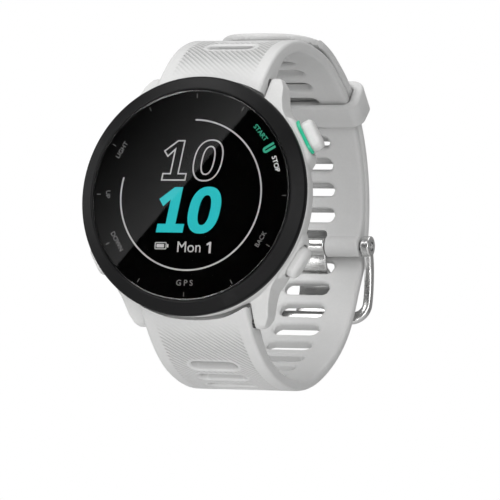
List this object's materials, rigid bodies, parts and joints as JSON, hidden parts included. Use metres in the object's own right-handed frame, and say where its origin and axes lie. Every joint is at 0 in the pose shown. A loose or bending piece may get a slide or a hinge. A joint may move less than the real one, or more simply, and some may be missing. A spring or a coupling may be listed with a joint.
{
  "type": "gps running watch",
  "caption": "Round sports watch with side buttons, black bezel and glass, on a closed silicone band with a steel tang buckle.",
  "frame": {"origin": "middle of the flat outer face of the sensor window on the case back", "axes": "+Z to 12 o'clock, +X to 3 o'clock, +Y out of the case back toward the wrist, so the dial faces -Y"},
  "size_m": [0.0446, 0.0627, 0.0641],
  "materials": {
    "light_polymer": "satin light grey moulded polymer",
    "light_silicone": "satin light grey silicone with fine diagonal grooves outside",
    "black_bezel": "satin black moulded polymer",
    "green_accent": "glossy green inlay",
    "cover_glass": "polished chemically hardened glass",
    "display": "black reflective display",
    "sensor_glass": "dark tinted sensor window",
    "buckle_steel": "polished stainless steel",
    "plain_steel": "fine turned steel",
    "gold_contact": "gold plated",
    "circuit_board": "green solder mask",
    "dark_polymer": "matte black moulded polymer",
    "white_polymer": "matte white moulded polymer",
    "seal_rubber": "matte black rubber",
    "foil": "bright foil",
    "brass_strip": "plain brass"
  },
  "bodies": {
    "case": {"back_cover": "light_polymer", "back_cover_gasket": "seal_rubber", "back_screw_1": "plain_steel", "back_screw_2": "plain_steel", "back_screw_3": "plain_steel", "back_screw_4": "plain_steel", "back_switch": "white_polymer", "backlight_plate": "white_polymer", "battery_cell": "foil", "bezel_ring": "black_bezel", "buckle_bar": "plain_steel", "charge_pin_1": "gold_contact", "charge_pin_2": "gold_contact", "charge_pin_3": "gold_contact", "charge_pin_4": "gold_contact", "cover_lens": "cover_glass", "display_panel": "display", "down_switch": "white_polymer", "gps_antenna": "brass_strip", "heart_rate_board": "circuit_board", "inner_frame": "dark_polymer", "lens_adhesive_ring": "dark_polymer", "light_switch": "white_polymer", "main_board": "circuit_board", "mid_case": "light_polymer", "piezo_buzzer": "brass_strip", "sensor_window": "sensor_glass", "shield_can": "foil", "spring_bar_lower": "plain_steel", "spring_bar_upper": "plain_steel", "start_button_accent": "green_accent", "start_switch": "white_polymer", "strap_lower": "light_silicone", "strap_upper": "light_silicone", "up_switch": "white_polymer", "vibration_motor_can": "plain_steel"},
    "light_button_set": {"light_button": "light_polymer", "light_seal_ring": "seal_rubber", "light_retaining_clip": "plain_steel"},
    "up_button_set": {"up_button": "light_polymer", "up_seal_ring": "seal_rubber", "up_retaining_clip": "plain_steel"},
    "down_button_set": {"down_button": "light_polymer", "down_seal_ring": "seal_rubber", "down_retaining_clip": "plain_steel"},
    "start_button_set": {"start_button": "light_polymer", "start_seal_ring": "seal_rubber", "start_retaining_clip": "plain_steel"},
    "back_button_set": {"back_button": "light_polymer", "back_seal_ring": "seal_rubber", "back_retaining_clip": "plain_steel"},
    "keeper": {"keeper_loop": "light_silicone"},
    "buckle": {"buckle_frame": "buckle_steel"},
    "tongue": {"buckle_tongue": "buckle_steel"},
    "release_pin_upper": {"quick_release_pin_upper": "plain_steel"},
    "release_pin_lower": {"quick_release_pin_lower": "plain_steel"},
    "motor_rotor": {"vibration_motor_rotor": "brass_strip"}
  },
  "joints": [
    {"name": "light_button_press", "type": "slide", "parent": "case", "child": "light_button_set", "axis": [0.866, 0, -0.5], "range_m": [0, 0.0006], "stiffness_N_per_m": 2000},
    {"name": "up_button_press", "type": "slide", "parent": "case", "child": "up_button_set", "axis": [1, 0, 0], "range_m": [0, 0.0006], "stiffness_N_per_m": 2000},
    {"name": "down_button_press", "type": "slide", "parent": "case", "child": "down_button_set", "axis": [0.866, 0, 0.5], "range_m": [0, 0.0006], "stiffness_N_per_m": 2000},
    {"name": "start_button_press", "type": "slide", "parent": "case", "child": "start_button_set", "axis": [-0.866, 0, -0.5], "range_m": [0, 0.0006], "stiffness_N_per_m": 2000},
    {"name": "back_button_press", "type": "slide", "parent": "case", "child": "back_button_set", "axis": [-0.866, 0, 0.5], "range_m": [0, 0.0006], "stiffness_N_per_m": 2000},
    {"name": "keeper_slide", "type": "hinge", "parent": "case", "child": "keeper", "pos_m": [0, 0.0209, 0.0029], "axis": [1, 0, 0], "range_deg": [-28, 6]},
    {"name": "buckle_swing", "type": "hinge", "parent": "case", "child": "buckle", "pos_m": [0, 0.04631, -0.00022], "axis": [1, 0, 0], "range_deg": [0, 6]},
    {"name": "tongue_swing", "type": "hinge", "parent": "buckle", "child": "tongue", "pos_m": [0, 0.04631, -0.00022], "axis": [1, 0, 0], "range_deg": [0, 3]},
    {"name": "release_pin_upper_pull", "type": "slide", "parent": "case", "child": "release_pin_upper", "axis": [-1, 0, 0], "range_m": [0, 0.0013], "stiffness_N_per_m": 800},
    {"name": "release_pin_lower_pull", "type": "slide", "parent": "case", "child": "release_pin_lower", "axis": [-1, 0, 0], "range_m": [0, 0.0013], "stiffness_N_per_m": 800},
    {"name": "motor_spin", "type": "hinge", "parent": "case", "child": "motor_rotor", "pos_m": [-0.0064, -0.0044, -0.0083], "axis": [0, -1, 0], "continuous": true}
  ]
}
